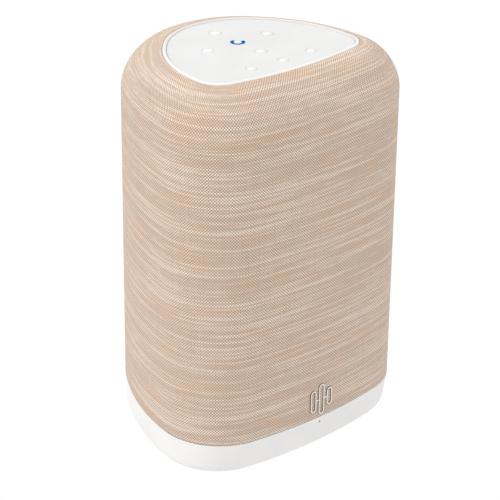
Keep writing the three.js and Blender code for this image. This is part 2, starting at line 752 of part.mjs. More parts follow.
function wooferCone() {
  return turned([
    [0, -7], [8, -8.4], [15, -12.4], [26, -5.5], [36.5, 3.3], [39, 3.3], [39, 2.5], [37, 2.4],
    [26.4, -6.6], [15.4, -15.4], [14.4, -15.4], [14.4, -44],
    [13.7, -44], [13.7, -13.4], [7.8, -9.3], [0, -7.9],
  ], 24);
}

function tweeterBody() {
  return turned([
    [0, -3.5], [8.3, -3.5], [8.3, -9.5], [10.2, -9.5], [10.2, -1], [10.6, 0], [17, 3],
    [TWEETER_R, 3], [TWEETER_R, GAP], [16.5, GAP], [16.5, -14], [0, -14],
  ], 20);
}

function tweeterDome() {
  return turned([[0, 2.6], [5, 2], [9.5, 0], [9.5, -6], [9, -6], [9, -0.3], [4.8, 1.5], [0, 2.1]], 20);
}

function radiatorFrame() {
  return turnedRing([[29.5, GAP], [RADIATOR_R, GAP], [RADIATOR_R, 3.3], [29.5, 3.3]], 24);
}

function radiatorPlate() {
  return turned([[0, 2.4], [18, 2.4], [21, 3.3], [28.2, 3.3], [28.2, 1], [0, 1]], 24);
}

function buildDrivers() {
  const woofer = placedGroup(WOOFER_PLACE);
  piece('woofer_basket', wooferBasket(), DARK_PLASTIC, woofer);
  piece('woofer_magnet', wooferMagnet(), FERRITE, woofer);
  piece('woofer_surround', surround(37, 49.8, 2, 3.6, 22), RUBBER, woofer);
  piece('woofer_cone', wooferCone(), PAPER_CONE, woofer);
  WOOFER_SCREWS.forEach(([x, y], i) => {
    const fastener = piece(`woofer_screw_${i + 1}`, screw(2.6, 1.6, 9), STEEL, woofer);
    fastener.position.set(x, y, 5.3);
  });
  ['left', 'right'].forEach((side) => {
    const tweeter = placedGroup(TWEETER_PLACES[side]);
    piece(`${side}_tweeter`, tweeterBody(), DARK_PLASTIC, tweeter);
    piece(`${side}_tweeter_dome`, tweeterDome(), SILK, tweeter);
    const radiator = placedGroup(RADIATOR_PLACES[side]);
    piece(`${side}_radiator_frame`, radiatorFrame(), DARK_PLASTIC, radiator);
    piece(`${side}_radiator_surround`, surround(26.6, 37.2, 2, 3.6, 20), RUBBER, radiator);
    piece(`${side}_radiator_plate`, radiatorPlate(), ALUMINIUM, radiator);
  });
}

// ---------------------------------------------------------------- control panel

const KEYS = [
  { name: 'left_key', x: -KEY_REACH.across, y: POWER_Y, radius: KEY_R },
  { name: 'right_key', x: KEY_REACH.across, y: POWER_Y, radius: KEY_R },
  { name: 'back_key', x: 0, y: POWER_Y + KEY_REACH.along, radius: KEY_R },
  { name: 'front_key', x: 0, y: POWER_Y - KEY_REACH.along, radius: KEY_R },
  { name: 'preset_key_1', x: -PRESET_PITCH, y: PRESET_Y, radius: PRESET_R },
  { name: 'preset_key_2', x: 0, y: MIDDLE_PRESET_Y, radius: PRESET_R },
  { name: 'preset_key_3', x: PRESET_PITCH, y: PRESET_Y, radius: PRESET_R },
];
const POWER = { name: 'power_button', x: 0, y: POWER_Y, radius: POWER_R };

/** A push cap with a retaining flange and a stem, its own origin on the panel's top face. */
function keyCap(radius, flangeTop) {
  const flangeR = radius + 1.3;
  const edge = 0.25;
  return turned([
    [0, KEY_PROUD], [radius - edge, KEY_PROUD], [radius, KEY_PROUD - edge], [radius, flangeTop],
    [flangeR, flangeTop], [flangeR, flangeTop - 1], [2, flangeTop - 1], [2, -5], [0, -5],
  ], 16);
}

/** A ring sector with the power light's gap, in plan. */
function lightArc(grow) {
  const { outerR, innerR, gapCentre, halfGap } = LIGHT_ARC;
  const start = THREE.MathUtils.degToRad(gapCentre + halfGap) - grow / innerR;
  const end = THREE.MathUtils.degToRad(gapCentre - halfGap + 360) + grow / innerR;
  const path = new THREE.Path();
  path.absarc(0, POWER_Y, outerR + grow, start, end);
  path.absarc(0, POWER_Y, innerR - grow, end, start, true);
  return path.getPoints(9);
}

function controlPlate() {
  const plate = prism(outline(PANEL, RIM_WIDTH + GAP), PLATE_BOTTOM, PLATE_TOP);
  const under = PLATE_BOTTOM - THROUGH;
  const over = PLATE_TOP + THROUGH;
  const holes = KEYS.map(({ x, y, radius }) => post(x, y, radius + GAP, under, over, 16));
  const powerHole = post(0, POWER_Y, POWER_R + GAP, under, over, 16);
  return cut(plate, ...holes, powerHole, prism(lightArc(GAP), under, over));
}

function topBezel() {
  const bottom = TRAY_FLOOR + GAP;
  const section = [
    [0, bottom], [0, RIM_TOP - 1.5], [0.45, RIM_TOP - 0.45], [1.5, RIM_TOP],
    [2.4, RIM_TOP - 0.4], [RIM_WIDTH, RIM_TOP - 1.3], [RIM_WIDTH, bottom],
  ];
  return skinned(section.map(([inset, z]) => level(outline(PANEL, inset), z)), true);
}

function controlTray() {
  const wallThickness = 1.5;
  const wallInset = RIM_WIDTH + GAP;
  const floor = prism(outline(PANEL), TRAY_BOTTOM, TRAY_FLOOR);
  const wallOuter = prism(outline(PANEL, wallInset), TRAY_BOTTOM + 1, PLATE_BOTTOM - GAP);
  const wallInner = prism(outline(PANEL, wallInset + wallThickness), TRAY_FLOOR, PLATE_BOTTOM + THROUGH);
  const legBottom = CABINET_TOP + GAP + LID_THICKNESS + GAP;
  const restTop = CONTROL_BOARD_BOTTOM - GAP;
  const legs = [...mirrored(46, -34), [0, 40]].map(([x, y]) => post(x, y, 5, legBottom, TRAY_BOTTOM + 1));
  const rests = [...mirrored(50, -38), ...mirrored(24, 24)]
    .map(([x, y]) => post(x, y, 2.5, TRAY_FLOOR - 1, restTop, 10));
  return cut(join(floor, cut(wallOuter, wallInner), ...legs, ...rests), ribbonTop());
}

function controlBoard() {
  return prism(outline(PANEL, RIM_WIDTH + 2.4), CONTROL_BOARD_BOTTOM, CONTROL_BOARD_TOP);
}

function keypad() {
  const sheet = prism(outline(PANEL, RIM_WIDTH + 2.6), KEYPAD_BOTTOM, KEYPAD_TOP);
  const domeHeight = 1.9;
  const domes = [...KEYS, POWER].map(({ x, y }) => {
    const geometry = new THREE.CylinderGeometry(1.8, 3, domeHeight, 10).rotateX(Math.PI / 2);
    return solid(geometry.translate(x, y, KEYPAD_TOP - 0.2 + domeHeight / 2));
  });
  return join(sheet, ...domes);
}

function buildControls() {
  piece('top_bezel', topBezel(), WHITE_PLASTIC);
  piece('control_plate', controlPlate(), PANEL_PLASTIC);
  piece('power_light_arc', prism(lightArc(0), PLATE_BOTTOM - 0.4, PLATE_TOP), BLUE_LIGHT);
  piece('control_tray', controlTray(), GREY_PLASTIC);
  piece('control_board', controlBoard(), CIRCUIT);
  piece('silicone_keypad', keypad(), SILICONE);
  [...KEYS, POWER].forEach((key) => {
    const flangeTop = key === POWER ? -3 : -2.6;
    const cap = piece(key.name, keyCap(key.radius, flangeTop), KEY_PLASTIC);
    cap.position.set(key.x, key.y, PLATE_TOP);
  });
}

// ---------------------------------------------------------------- ribbon cable and aerial

const RIBBON = { angle: THREE.MathUtils.degToRad(50), width: 12, thickness: 0.5 };

/** Turns a body drawn in the (outwards, up) plane so that outwards is the ribbon's bearing. */
function inRibbonPlane(body) {
  const matrix = new THREE.Matrix4().makeRotationZ(RIBBON.angle).setPosition(0, BODY.backY, 0);
  return moved(body, matrix);
}

/** The slot for the ribbon through the chassis plate. */
function ribbonSlot(z0, z1) {
  const halfWidth = RIBBON.width / 2 + THROUGH;
  return inRibbonPlane(box(70.2, 72.8, -halfWidth, halfWidth, z0, z1));
}

/** The slot for the ribbon through the control tray's floor. */
function ribbonTop() {
  const halfWidth = RIBBON.width / 2 + THROUGH;
  return inRibbonPlane(box(22.5, 25.5, -halfWidth, halfWidth, TRAY_BOTTOM - THROUGH, CONTROL_BOARD_BOTTOM));
}

/** The flat cable from the control board, down behind the cabinet to the main board. */
function controlRibbon() {
  const upper = [
    [24, 270], [24, 257], [27, 252.5], [33, 250.5],
    [58, 250.5], [66, 249], [71.5, 243], [71.5, 232],
  ];
  const lower = [[71.5, 32], [71.5, 22], [69, 18.5], [52, 17], [47.5, 14.5], [46.5, 9.5]];
  const middle = [...upper, ...lower].map(([r, z]) => new THREE.Vector2(r, z));
  const side = (offset) => middle.map((point, i) => {
    const before = middle[Math.max(i - 1, 0)];
    const after = middle[Math.min(i + 1, middle.length - 1)];
    const along = after.clone().sub(before).normalize();
    return point.clone().add(new THREE.Vector2(-along.y, along.x).multiplyScalar(offset));
  });
  const half = RIBBON.thickness / 2;
  const section = new THREE.Shape([...side(half), ...side(-half).reverse()]);
  const geometry = new THREE.ExtrudeGeometry(section, { depth: RIBBON.width, bevelEnabled: false });
  geometry.translate(0, 0, -RIBBON.width / 2).rotateX(Math.PI / 2);
  return inRibbonPlane(solid(geometry));
}

function wifiAntenna() {
  const backY = BODY.backY + BODY.backR - CABINET_INSET;
  return box(-16, 16, backY + GAP, backY + GAP + 0.8, 214, 224);
}

function buildWiring() {
  piece('control_ribbon', controlRibbon(), COPPER_FILM);
  piece('wifi_antenna', wifiAntenna(), CIRCUIT);
}

buildBase();
buildElectronics();
buildCabinet();
buildDrivers();
buildControls();
buildWiring();

export default speaker;
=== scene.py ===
"""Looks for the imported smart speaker: its woven sleeve, white foot, top panel with keys, and finishes."""
import math

import bmesh
import bpy
from mathutils import Matrix, Vector


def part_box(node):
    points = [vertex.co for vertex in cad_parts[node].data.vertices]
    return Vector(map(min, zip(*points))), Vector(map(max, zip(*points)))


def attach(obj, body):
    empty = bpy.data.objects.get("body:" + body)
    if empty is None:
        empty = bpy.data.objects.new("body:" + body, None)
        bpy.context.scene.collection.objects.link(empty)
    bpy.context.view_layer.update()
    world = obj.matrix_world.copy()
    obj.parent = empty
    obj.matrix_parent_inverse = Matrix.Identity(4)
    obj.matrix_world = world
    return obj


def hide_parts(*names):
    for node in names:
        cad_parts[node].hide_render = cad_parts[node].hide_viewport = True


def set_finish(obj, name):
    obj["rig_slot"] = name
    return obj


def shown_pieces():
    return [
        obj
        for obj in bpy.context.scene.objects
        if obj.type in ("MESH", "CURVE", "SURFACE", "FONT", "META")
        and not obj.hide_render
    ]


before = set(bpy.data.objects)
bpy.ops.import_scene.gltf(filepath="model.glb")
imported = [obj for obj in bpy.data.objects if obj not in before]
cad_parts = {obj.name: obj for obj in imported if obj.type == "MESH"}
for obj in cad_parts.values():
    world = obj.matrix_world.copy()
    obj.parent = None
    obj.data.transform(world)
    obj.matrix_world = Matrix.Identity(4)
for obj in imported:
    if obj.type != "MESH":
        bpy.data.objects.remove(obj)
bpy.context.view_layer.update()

MM = 0.001
ROOT = "speaker"
BLACK = (0.0, 0.0, 0.0, 1.0)
WHITE = (1.0, 1.0, 1.0, 1.0)


# ---------------------------------------------------------------- sizes, in metres

# A plan outline has three corner circles, two in front and one at the back, joined by long arcs.
BODY = dict(corner_x=0.0515, corner_y=-0.0363, corner_r=0.0456, back_y=0.0064, back_r=0.0799,
            front_r=0.3436, side_r=0.188)
PANEL = dict(corner_x=0.0516, corner_y=-0.0346, corner_r=0.018, back_y=-0.0055, back_r=0.0583,
             front_r=0.264, side_r=0.0917)
ARC_STEPS = dict(corner=40, back=72, front=36, side=44)
EDGE_MIDDLE = 0.3  # how far in the middle point of a small soft edge lies, as a share of the edge

# Woven sleeve
FABRIC_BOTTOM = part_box("fabric_sleeve")[0].z
FABRIC_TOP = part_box("fabric_sleeve")[1].z
FABRIC_THICKNESS = 1.2 * MM
PANEL_OVERLAP = 0.06 * MM
SHOULDER_START = 0.2489
SHOULDER_EXPONENT = 1.844  # of the superellipse that its profile follows
SHOULDER_RINGS = 30
WALL_RINGS = 24
HEM_STEPS = 6
WARP_PITCH = 1.05 * MM  # between threads round the body
WEFT_PITCH = 1.1 * MM  # between rows up it

# Foot
SKIRT_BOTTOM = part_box("base_skirt")[0].z
SKIRT_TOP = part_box("base_skirt")[1].z
SKIRT_TAPER = 2.2 * MM
SKIRT_WALL = 2.5 * MM
SKIRT_EDGE_R = 7.8 * MM
SKIRT_EDGE_STEPS = 14
SKIRT_LIP = 0.25 * MM
SKIRT_LIP_STEPS = 4
COVER_INSET = 14 * MM
LEDGE_INSETS = (11 * MM, 19 * MM)
LEDGE_ROOT = 3.7 * MM
LEDGE_UNDERSIDE = 4 * MM
LEDGE_TOP = 6.2 * MM
RECESS_HALF_WIDTH = 43 * MM
RECESS_FRONT_Y = 67 * MM
RECESS_Z = (5.2 * MM, 24.2 * MM)
RECESS_WALL = 2.3 * MM
RECESS_CORNER_R = 1.5 * MM
TUNNEL_INSET = 1 * MM
PAST_REAR_Y = 120 * MM
PINHOLE_R = 0.9 * MM
PINHOLE_Y = -84 * MM
PINHOLE_Z = 22.6 * MM
PINHOLE_REACH = 6 * MM
PAD_EDGE = 0.3 * MM
SCREW_PROFILE = [(1.9, 1.74), (2.5, 2.0), (2.8, 2.5), (2.8, 2.9), (1.3, 2.9), (1.3, 8.9)]  # in mm
CROSS_ARM = 1.5 * MM
CROSS_HALF_WIDTH = 0.35 * MM
CROSS_DEPTH = 2.5 * MM

# Badge: three outlined bars joined by two short rails
BAR_HEIGHTS = (14 * MM, 24 * MM, 17.5 * MM)  # from right to left
BAR_WIDTH = 5.5 * MM
BAR_PITCH = 7.6 * MM
BAR_STROKE = 1.3 * MM
BAR_EDGE = 0.3 * MM
BAR_END_STEPS = 14
RAIL_OVERLAP = 0.4 * MM
RAIL_SETBACK = 0.25 * MM
RAIL_HALF_HEIGHT = 0.6 * MM

# Top panel
PLATE_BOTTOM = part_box("control_plate")[0].z
PLATE_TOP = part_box("control_plate")[1].z
PLATE_EDGE = 0.15 * MM
RIM_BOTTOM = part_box("top_bezel")[0].z
RIM_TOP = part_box("top_bezel")[1].z
RIM_WIDTH = 3 * MM
RIM_ROUND = 1.5 * MM
RIM_DROP = 1.3 * MM
RIM_STEPS = 8
KEY_NAMES = ["left_key", "right_key", "back_key", "front_key", "preset_key_1", "preset_key_2",
             "preset_key_3", "power_button"]
KEY_R = 4.4 * MM
PRESET_R = 3.7 * MM
BUTTON_R = 2.8 * MM
KEY_GAP = 0.12 * MM
BUTTON_GAP = 0.2 * MM
HOLE_LIP = 0.1 * MM
HOLE_DEPTH = 4 * MM
LIGHT_INNER = 3.1 * MM
LIGHT_OUTER = 5.15 * MM
LIGHT_GAP_CENTRE = 48  # degrees
LIGHT_HALF_GAP = 46
LIGHT_EDGE = 0.1 * MM
LIGHT_STEPS = 40

# Caps of the keys, in mm from the plate's top: a flange holds each one under the plate
STEM_R = 2
STEM_BOTTOM = -5
FLANGE_REACH = 1.3
FLANGE_THICKNESS = 1
FLANGE_TOP = -2.6
BUTTON_FLANGE_TOP = -3
CENTRE_SHARE = 0.68  # the raised centre's radius as a share of the cap's
CENTRE_PROUD = 0.4

# Stage and light
FLOOR_HALF_SIZE = 6.0
FLOOR_GLOW = 1.02
TENT_TOP = 1.5
TENT_HORIZON = 0.54
TENT_FULL_RISE = 0.9  # the height on the unit sphere from which the tent is as bright as its top
KEY_STRENGTH = 0.81
KEY_FROM = (-0.8, 0.3, 0.5)
KEY_SPREAD = 50  # degrees
KEY_COLOUR = (1.0, 0.985, 0.96)

# The camera as it was fitted to the photo: angles in degrees, the lens in mm, the rest in metres
CAMERA_AZIMUTH = -41.788
CAMERA_ELEVATION = 25.647
CAMERA_ROLL = 0.7141
CAMERA_TARGET = (0, -0.02207, 0.13361)
CAMERA_LEFTWARD = 8.4 * MM  # moves the target, so that the speaker sits where it does in the photo's frame
CAMERA_DISTANCE = 1.461
CAMERA_LENS = 149.25


# ---------------------------------------------------------------- outlines


def long_arc_centre(start, end, radius):
    """The centre of a long arc that rolls round two corner circles, each (centre, radius)."""
    along = end[0] - start[0]
    length = along.length
    along = along / length
    inwards = Vector((-along.y, along.x))
    from_start = radius - start[1]
    from_end = radius - end[1]
    reach = (from_start**2 - from_end**2 + length**2) / (2 * length)
    return start[0] + along * reach + inwards * math.sqrt(from_start**2 - reach**2)


def even_angles(span, steps):
    """Angles from 0 to span in equal steps, both ends included."""
    return [span * i / steps for i in range(steps + 1)]


def bearing(start, end):
    return math.atan2(end.y - start.y, end.x - start.x)


def arc_points(centre, radius, start, end, steps):
    """Points along an arc from one angle counter-clockwise to another, without the last."""
    angles = [start + a for a in even_angles((end - start) % (2 * math.pi), steps)[:-1]]
    return [centre + radius * Vector((math.cos(a), math.sin(a))) for a in angles]


def outline(plan, inset=0.0, shift_y=0.0):
    """A plan outline moved in by inset, counter-clockwise from the front left corner."""
    front_x = plan["corner_x"]
    spots = [(-front_x, plan["corner_y"]), (front_x, plan["corner_y"]), (0.0, plan["back_y"])]
    radii = [plan["corner_r"], plan["corner_r"], plan["back_r"]]
    corners = [(Vector(spot), radius - inset) for spot, radius in zip(spots, radii)]
    arcs = [plan["front_r"] - inset, plan["side_r"] - inset, plan["side_r"] - inset]
    corner_steps = [ARC_STEPS["corner"], ARC_STEPS["corner"], ARC_STEPS["back"]]
    arc_steps = [ARC_STEPS["front"], ARC_STEPS["side"], ARC_STEPS["side"]]
    centres = [long_arc_centre(corners[i], corners[(i + 1) % 3], arcs[i]) for i in range(3)]
    points = []
    for i, (spot, radius) in enumerate(corners):
        before = centres[i - 1]
        after = centres[i]
        following = corners[(i + 1) % 3][0]
        turn_end = bearing(after, spot)
        points += arc_points(spot, radius, bearing(before, spot), turn_end, corner_steps[i])
        points += arc_points(after, arcs[i], turn_end, bearing(after, following), arc_steps[i])
    return [Vector((p.x, p.y + shift_y)) for p in points]


def level(points, z):
    return [Vector((p.x, p.y, z)) for p in points]


def middle(node):
    low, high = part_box(node)
    return (low.x + high.x) / 2, (low.y + high.y) / 2


# ---------------------------------------------------------------- mesh helpers


def new_object(name, mesh, node, slot, body=ROOT):
    """Links a piece, lets it ride, hides the CAD node that it stands for, and gives it its material slot.
    """
    obj = bpy.data.objects.new(name, mesh)
    bpy.context.scene.collection.objects.link(obj)
    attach(obj, body)
    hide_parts(node)
    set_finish(obj, slot)
    return obj


def smooth(mesh, angle=35):
    """Smooth shading, with edges sharper than the angle kept crisp."""
    for polygon in mesh.polygons:
        polygon.use_smooth = True
    bm = bmesh.new()
    bm.from_mesh(mesh)
    bmesh.ops.recalc_face_normals(bm, faces=bm.faces)
    for edge in bm.edges:
        edge.smooth = not edge.is_manifold or edge.calc_face_angle(0) < math.radians(angle)
    bm.to_mesh(mesh)
    bm.free()


def skinned(name, rings, close=False, angle=35):
    """Rings of equal point counts skinned into one mesh, capped at both ends or closed round."""
    count = len(rings[0])
    bands = len(rings) if close else len(rings) - 1
    faces = []
    for band in range(bands):
        low = band * count
        high = (band + 1) % len(rings) * count
        for i in range(count):
            j = (i + 1) % count
            faces.append((low + i, low + j, high + j, high + i))
    if not close:
        last = (len(rings) - 1) * count
        faces.append(tuple(range(count - 1, -1, -1)))
        faces.append(tuple(range(last, last + count)))
    mesh = bpy.data.meshes.new(name)
    mesh.from_pydata([p for ring in rings for p in ring], [], faces)
    smooth(mesh, angle)
    return mesh


def turned(name, profile, segments):
    """A solid turned about Z from (radius, height) points, flat at both ends."""
    turns = even_angles(2 * math.pi, segments)[:-1]
    rings = [[Vector((r * math.cos(t), r * math.sin(t), z)) for t in turns] for r, z in profile]
    return skinned(name, rings)


def block(name, low, high):
    bm = bmesh.new()
    bmesh.ops.create_cube(bm, size=1)
    low = Vector(low)
    high = Vector(high)
    for vert in bm.verts:
        vert.co = Vector([(low[i] + high[i]) / 2 + vert.co[i] * (high[i] - low[i]) for i in range(3)])
    mesh = bpy.data.meshes.new(name)
    bm.to_mesh(mesh)
    bm.free()
    return mesh


def cutter(mesh):
    """An object that only serves a boolean cut, and goes with it."""
    obj = bpy.data.objects.new(mesh.name, mesh)
    bpy.context.scene.collection.objects.link(obj)
    return obj


def cut_away(obj, tools, operation="DIFFERENCE"):
    """Applies boolean cuts to obj and deletes the tools."""
    for tool in tools:
        modifier = obj.modifiers.new("cut", "BOOLEAN")
        modifier.operation = operation
        modifier.solver = "EXACT"
        modifier.object = tool
        bpy.context.view_layer.objects.active = obj
        bpy.ops.object.modifier_apply(modifier=modifier.name)
        bpy.data.objects.remove(tool)


# ---------------------------------------------------------------- woven sleeve


def shoulder_ring(body_inset, panel_inset, top, share):
    """A ring of the shoulder: share runs from 0 at the body wall to 1 at the panel."""
    angle = share * math.pi / 2
    reach = max(math.cos(angle), 0.0) ** (2 / SHOULDER_EXPONENT)
    rise = math.sin(angle) ** (2 / SHOULDER_EXPONENT)
    pairs = zip(outline(PANEL, panel_inset), outline(BODY, body_inset))
    points = [narrow.lerp(wide, reach) for narrow, wide in pairs]
    return level(points, SHOULDER_START + (top - SHOULDER_START) * rise)


def sleeve_rings():
    """The cloth's rings: hem at the foot, up the outside, hem at the panel, and down the inside."""
    wall = FABRIC_THICKNESS
    half = wall / 2
    low = FABRIC_BOTTOM + half
    hem_angles = even_angles(math.pi, HEM_STEPS)[1:-1]
    heights = [low + (SHOULDER_START - low) * i / WALL_RINGS for i in range(WALL_RINGS + 1)]
    shares = [i / SHOULDER_RINGS for i in range(1, SHOULDER_RINGS + 1)]
    edge_inset = -PANEL_OVERLAP - half
    rings = [level(outline(BODY, half + half * math.cos(a)), low - half * math.sin(a)) for a in hem_angles]
    rings += [level(outline(BODY), z) for z in heights]
    rings += [shoulder_ring(0.0, edge_inset, FABRIC_TOP, share) for share in shares]
    rings += [level(outline(PANEL, edge_inset + half * math.sin(a)), FABRIC_TOP - half + half * math.cos(a))
              for a in hem_angles]
    rings += [shoulder_ring(wall, edge_inset, FABRIC_TOP - wall, share) for share in reversed(shares)]
    rings += [level(outline(BODY, wall), z) for z in reversed(heights)]
    return rings


def lay_weave(mesh, rings):
    """Writes the "weave" UV map, which counts threads round the body from its rear and up its profile.

    Returns the cloth's length round the body, which is a whole number of threads.
    """
    count = len(rings[0])
    base = outline(BODY)
    spans = [(base[(i + 1) % count] - base[i]).length for i in range(count)]
    threads = round(sum(spans) / WARP_PITCH)
    seam = ARC_STEPS["corner"] * 2 + ARC_STEPS["front"] + ARC_STEPS["side"] + ARC_STEPS["back"] // 2
    across = {}
    total = 0.0
    for step in range(count):
        i = (seam + step) % count
        across[i] = total
        total += spans[i] * threads / sum(spans)
    up = [0.0]
    for lower, upper in zip(rings, rings[1:]):
        up.append(up[-1] + (upper[0] - lower[0]).length / WEFT_PITCH)
    layer = mesh.uv_layers.new(name="weave")
    last_ring = len(rings) - 1
    for polygon in mesh.polygons:
        corners = [divmod(mesh.loops[k].vertex_index, count) for k in polygon.loop_indices]
        closing = {ring for ring, _ in corners} == {0, last_ring}  # the band where the hem meets itself
        at_seam = {i for _, i in corners} == {seam, (seam - 1) % count}
        for k, (ring, i) in zip(polygon.loop_indices, corners):
            u = threads if at_seam and i == seam else across[i]
            v = -1.0 if closing and ring == last_ring else up[ring]
            layer.data[k].uv = (u, v)
    return threads * WARP_PITCH


# ---------------------------------------------------------------- foot


def skirt_ring(z, inset):
    """The skirt's outline at a height: it draws in and shifts to the rear towards the floor."""
    taper = SKIRT_TAPER * (SKIRT_TOP - z) / SKIRT_TOP
    return level(outline(BODY, inset + taper, taper), z)


def skirt_outside(wall, top):
    """(inset, z) points of the skirt's outer face, moved in by wall, from under its rounded foot up."""
    radius = SKIRT_EDGE_R - wall
    bottom = SKIRT_BOTTOM + wall
    angles = even_angles(math.pi / 2, SKIRT_EDGE_STEPS)
    edge = [(wall + radius * (1 - math.sin(a)), bottom + radius * (1 - math.cos(a))) for a in angles]
    return edge + [(wall, top)]


def skirt_section():
    """(inset, z) points round the skirt's wall: outside, rounded lip, inside, and the cover's ledge."""
    lip_z = SKIRT_TOP - SKIRT_LIP
    angles = even_angles(math.pi / 2, SKIRT_LIP_STEPS)[1:]
    section = skirt_outside(0.0, lip_z)
    section += [(SKIRT_LIP * (1 - math.cos(a)), lip_z + SKIRT_LIP * math.sin(a)) for a in angles]
    section += [(SKIRT_WALL - SKIRT_LIP, SKIRT_TOP), (SKIRT_WALL, lip_z)]
    section += reversed(skirt_outside(SKIRT_WALL, lip_z)[:-1])
    outer, inner = LEDGE_INSETS
    section += [(outer, LEDGE_ROOT), (outer, LEDGE_TOP), (inner, LEDGE_TOP), (inner, LEDGE_UNDERSIDE)]
    section += [(COVER_INSET, LEDGE_UNDERSIDE), (COVER_INSET, SKIRT_BOTTOM)]
    return section


def recess_tunnel():
    """The tube round the connector recess, which ends just inside the skirt's outer face."""
    low = (-RECESS_HALF_WIDTH - RECESS_WALL, RECESS_FRONT_Y + TUNNEL_INSET, RECESS_Z[0] - RECESS_WALL)
    high = (RECESS_HALF_WIDTH + RECESS_WALL, PAST_REAR_Y, RECESS_Z[1] + RECESS_WALL)
    tunnel = cutter(block("tunnel", low, high))
    outside = skirt_outside(0.0, SKIRT_TOP - TUNNEL_INSET)
    core = skinned("core", [skirt_ring(z, inset + TUNNEL_INSET) for inset, z in outside])
    cut_away(tunnel, [cutter(core)], "INTERSECT")
    return tunnel


def recess_window():
    """The recess itself, with its four corners rounded along Y."""
    low = (-RECESS_HALF_WIDTH, RECESS_FRONT_Y, RECESS_Z[0])
    high = (RECESS_HALF_WIDTH, PAST_REAR_Y, RECESS_Z[1])
    window = block("window", low, high)
    bm = bmesh.new()
    bm.from_mesh(window)
    edges = [e for e in bm.edges if abs((e.verts[0].co - e.verts[1].co).normalized().y) > 0.9]
    bmesh.ops.bevel(bm, geom=edges, offset=RECESS_CORNER_R, segments=5, profile=0.5, affect="EDGES")
    bm.to_mesh(window)
    bm.free()
    return cutter(window)


def front_pinhole():
    hole = turned("hole", [(PINHOLE_R, -PINHOLE_REACH), (PINHOLE_R, PINHOLE_REACH)], 32)
    forwards = Matrix.Rotation(math.pi / 2, 4, "X")
    hole.transform(Matrix.Translation((0, PINHOLE_Y, PINHOLE_Z)) @ forwards)
    return cutter(hole)


def foot_skirt():
    rings = [skirt_ring(z, inset) for inset, z in skirt_section()]
    skirt = new_object("foot_skirt", skinned("foot_skirt", rings, True, 40), "base_skirt", "white_plastic")
    cut_away(skirt, [recess_tunnel()], "UNION")
    cut_away(skirt, [recess_window(), front_pinhole()])
    smooth(skirt.data, 40)


def foot_pads():
    for name in ("foot_pad_left", "foot_pad_right", "foot_pad_rear"):
        low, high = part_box(name)
        radius = (high.x - low.x) / 2
        soft = EDGE_MIDDLE * PAD_EDGE
        profile = [(radius - PAD_EDGE, 0), (radius - soft, soft), (radius, PAD_EDGE), (radius, high.z)]
        mesh = turned(name + "_disc", profile, 72)
        mesh.transform(Matrix.Translation((*middle(name), 0)))
        new_object(name + "_disc", mesh, name, "rubber")


def cover_screws():
    """Screws with a cross slot in a head that faces the floor."""
    profile = [(r * MM, z * MM) for r, z in SCREW_PROFILE]
    for i in range(1, 5):
        name = f"cover_screw_{i}"
        head = new_object(name + "_head", turned(name + "_head", profile, 40), name, "steel")
        for x, y in ((CROSS_ARM, CROSS_HALF_WIDTH), (CROSS_HALF_WIDTH, CROSS_ARM)):
            cut_away(head, [cutter(block("slot", (-x, -y, 0), (x, y, CROSS_DEPTH)))])
        head.data.transform(Matrix.Translation((*middle(name), 0)))
        smooth(head.data)


# ---------------------------------------------------------------- badge


def bar_outline(width, height):
    """A standing bar with round ends, in the (x, z) plane."""
    radius = width / 2
    straight = (height - width) / 2
    angles = even_angles(math.pi, BAR_END_STEPS)
    top = [(radius * math.cos(a), straight + radius * math.sin(a)) for a in angles]
    return top + [(-x, -z) for x, z in top]


def rimmed_bar(name, x, height):
    """One outlined bar with softened edges, standing off the cloth."""
    low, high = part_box("front_badge")
    front = low.y
    back = high.y
    middle_z = (low.z + high.z) / 2
    soft = EDGE_MIDDLE * BAR_EDGE
    section = [(0, back), (0, front + BAR_EDGE), (soft, front + soft), (BAR_EDGE, front),
               (BAR_STROKE - BAR_EDGE, front), (BAR_STROKE - soft, front + soft),
               (BAR_STROKE, front + BAR_EDGE), (BAR_STROKE, back)]
    rings = [[Vector((x + px, y, middle_z + pz))
              for px, pz in bar_outline(BAR_WIDTH - 2 * inset, height - 2 * inset)] for inset, y in section]
    return skinned(name, rings, close=True, angle=50)


def badge():
    """The emblem, in bright metal in front, and a darker copy of that metal on its sides as painted shade.
    """
    low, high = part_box("front_badge")
    middle_z = (low.z + high.z) / 2
    right, centre, left = BAR_HEIGHTS
    mesh = rimmed_bar("sound_bar_badge", BAR_PITCH, right)
    emblem = new_object("sound_bar_badge", mesh, "front_badge", "polished_metal")
    tools = [cutter(rimmed_bar("bar", 0.0, centre)), cutter(rimmed_bar("bar", -BAR_PITCH, left))]
    reach = (BAR_PITCH - BAR_WIDTH) / 2 + RAIL_OVERLAP
    for x in (-BAR_PITCH / 2, BAR_PITCH / 2):
        tools.append(cutter(block("rail", (x - reach, low.y + RAIL_SETBACK, middle_z - RAIL_HALF_HEIGHT),
                                  (x + reach, high.y, middle_z + RAIL_HALF_HEIGHT))))
    cut_away(emblem, tools, "UNION")
    smooth(emblem.data, 50)
    emblem.data.materials.append(looks["polished_metal"])
    emblem.data.materials.append(looks["painted_shade_metal"])
    # The sides take the darker copy of the metal: painted shade.
    for polygon in emblem.data.polygons:
        on_side = abs(polygon.normal.y) < 0.5
        polygon.material_index = 1 if on_side else 0


# ---------------------------------------------------------------- top panel


